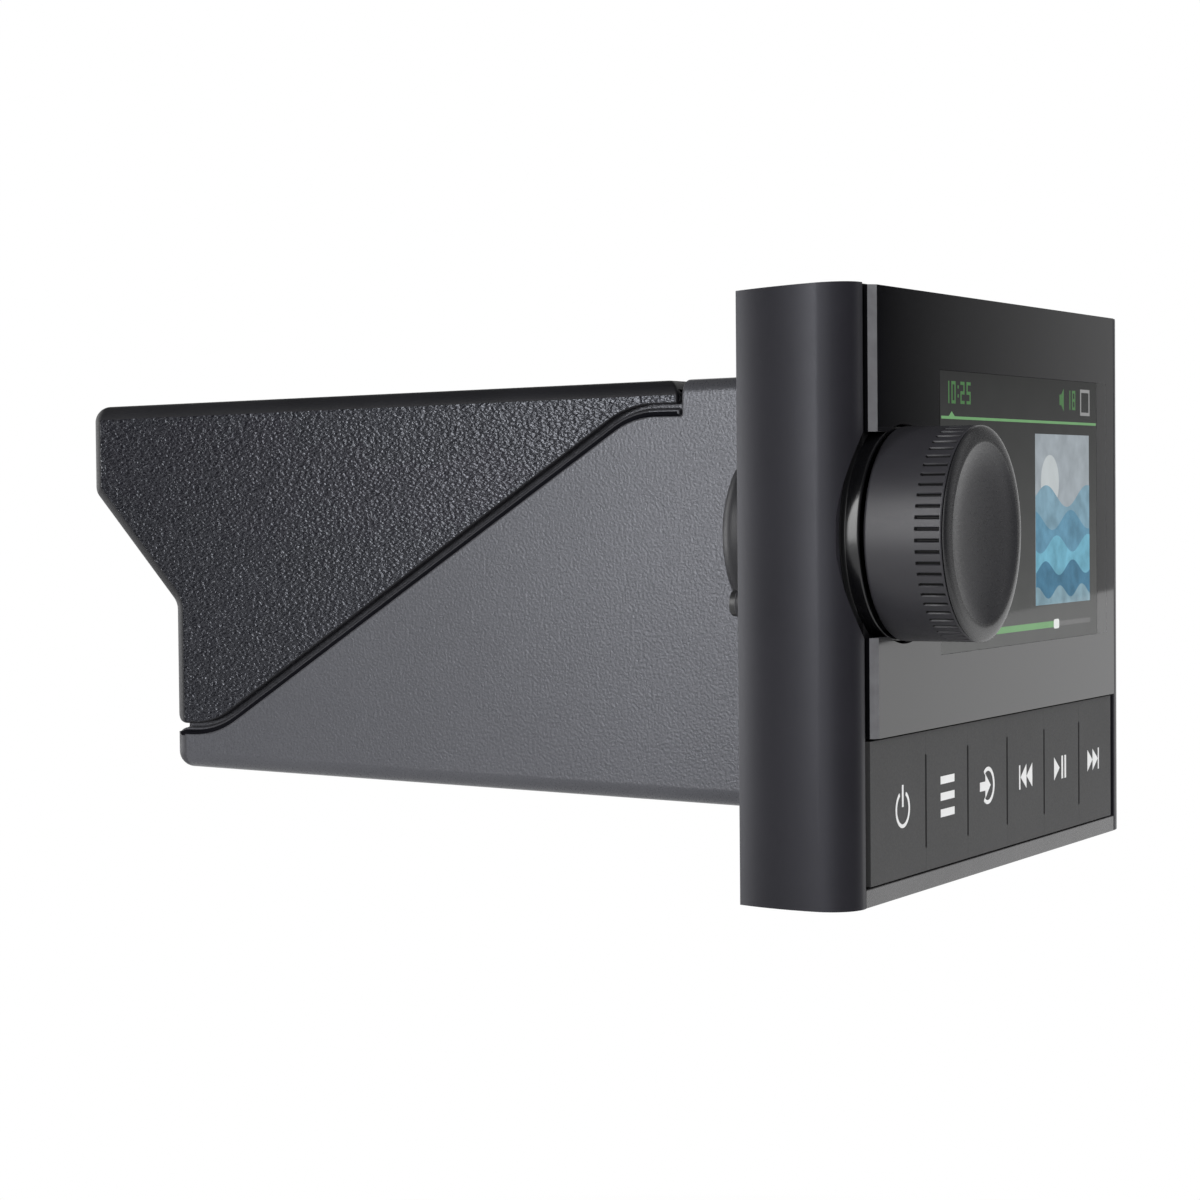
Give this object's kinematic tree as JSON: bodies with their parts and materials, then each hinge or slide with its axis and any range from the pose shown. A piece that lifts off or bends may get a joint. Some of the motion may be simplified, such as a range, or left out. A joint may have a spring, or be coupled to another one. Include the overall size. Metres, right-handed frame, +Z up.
{
  "type": "marine stereo",
  "caption": "Compact flush-mounted marine stereo with a colour display behind black glass, a turn-and-push knob, a row of keys and a deep case behind the panel.",
  "frame": {"origin": "middle of the panel's rear face, on the dashboard plane, at the centre of the four dashboard screws", "axes": "X to the right seen from the front, Y back into the dashboard, Z up"},
  "size_m": [0.155, 0.1961, 0.1124],
  "materials": {
    "panel_plastic": "fine-grained moulded plastic",
    "frame_plastic": "plain moulded plastic",
    "cover_glass": "black-backed cover glass, polished",
    "adhesive": "black adhesive foam",
    "display": "lit display module",
    "light_guide": "clear acrylic",
    "sheet_steel": "tinned sheet steel",
    "key_plastic": "matte soft-touch paint",
    "silicone": "silicone rubber",
    "black_plastic": "glass-filled nylon",
    "board": "green solder mask",
    "steel": "stainless steel",
    "knob_rubber": "matte rubbery coat",
    "knob_gloss": "polished black",
    "chassis_paint": "fine-textured grey powder coat",
    "cover_paint": "coarse-grained black coat",
    "contact_brass": "tin-plated brass",
    "capacitor_sleeve": "shrink sleeve",
    "copper": "enamelled copper winding",
    "aluminium": "milled aluminium",
    "ribbon": "flat cable"
  },
  "bodies": {
    "radio": {"amplifier_board": "board", "amplifier_chips": "black_plastic", "amplifier_screws": "steel", "antenna_socket": "steel", "backlight_tray": "sheet_steel", "bezel": "panel_plastic", "bezel_screws": "steel", "board_screws": "steel", "breather_vent": "black_plastic", "capacitors": "capacitor_sleeve", "chassis": "chassis_paint", "choke_coils": "copper", "cover_screws": "steel", "display_panel": "display", "encoder_board": "board", "encoder_body": "black_plastic", "encoder_bush": "steel", "encoder_housing": "frame_plastic", "encoder_nut": "steel", "encoder_plug": "black_plastic", "encoder_seal": "silicone", "ethernet_socket": "black_plastic", "frame_screws": "steel", "front_board": "board", "front_board_screws": "steel", "front_glass": "cover_glass", "glass_tape": "adhesive", "heat_spreader": "aluminium", "housing_screws": "steel", "key_mat": "silicone", "key_switches": "black_plastic", "knob_ring": "knob_gloss", "light_guide": "light_guide", "main_board": "board", "mounting_frame": "frame_plastic", "network_socket": "black_plastic", "panel_gasket": "silicone", "power_pins": "contact_brass", "power_socket": "black_plastic", "preout_sockets": "black_plastic", "processor_shield": "sheet_steel", "rear_cover": "cover_paint", "ribbon_cable": "ribbon", "ribbon_sockets": "black_plastic", "riser_board": "board", "side_cap_left": "panel_plastic", "side_cap_right": "panel_plastic", "tuner_can": "sheet_steel", "usb_socket": "black_plastic", "wireless_module": "sheet_steel"},
    "rotor": {"encoder_rotor": "black_plastic"},
    "knob": {"knob_sleeve": "knob_rubber", "knob_cap": "knob_gloss", "encoder_shaft": "steel"},
    "key_power": {"key_power": "key_plastic"},
    "key_menu": {"key_menu": "key_plastic"},
    "key_source": {"key_source": "key_plastic"},
    "key_previous": {"key_previous": "key_plastic"},
    "key_play": {"key_play": "key_plastic"},
    "key_next": {"key_next": "key_plastic"}
  },
  "joints": [
    {"name": "knob_turn", "type": "hinge", "parent": "radio", "child": "rotor", "pos_m": [-0.0538, 0, 0.011], "axis": [0, -1, 0], "continuous": true},
    {"name": "knob_push", "type": "slide", "parent": "rotor", "child": "knob", "axis": [0, 1, 0], "range_m": [0, 0.0005], "stiffness_N_per_m": 3000, "springref_m": -0.0005},
    {"name": "press_power", "type": "slide", "parent": "radio", "child": "key_power", "axis": [0, 1, 0], "range_m": [0, 0.0006], "stiffness_N_per_m": 2000, "springref_m": -0.0005},
    {"name": "press_menu", "type": "slide", "parent": "radio", "child": "key_menu", "axis": [0, 1, 0], "range_m": [0, 0.0006], "stiffness_N_per_m": 2000, "springref_m": -0.0005},
    {"name": "press_source", "type": "slide", "parent": "radio", "child": "key_source", "axis": [0, 1, 0], "range_m": [0, 0.0006], "stiffness_N_per_m": 2000, "springref_m": -0.0005},
    {"name": "press_previous", "type": "slide", "parent": "radio", "child": "key_previous", "axis": [0, 1, 0], "range_m": [0, 0.0006], "stiffness_N_per_m": 2000, "springref_m": -0.0005},
    {"name": "press_play", "type": "slide", "parent": "radio", "child": "key_play", "axis": [0, 1, 0], "range_m": [0, 0.0006], "stiffness_N_per_m": 2000, "springref_m": -0.0005},
    {"name": "press_next", "type": "slide", "parent": "radio", "child": "key_next", "axis": [0, 1, 0], "range_m": [0, 0.0006], "stiffness_N_per_m": 2000, "springref_m": -0.0005}
  ]
}
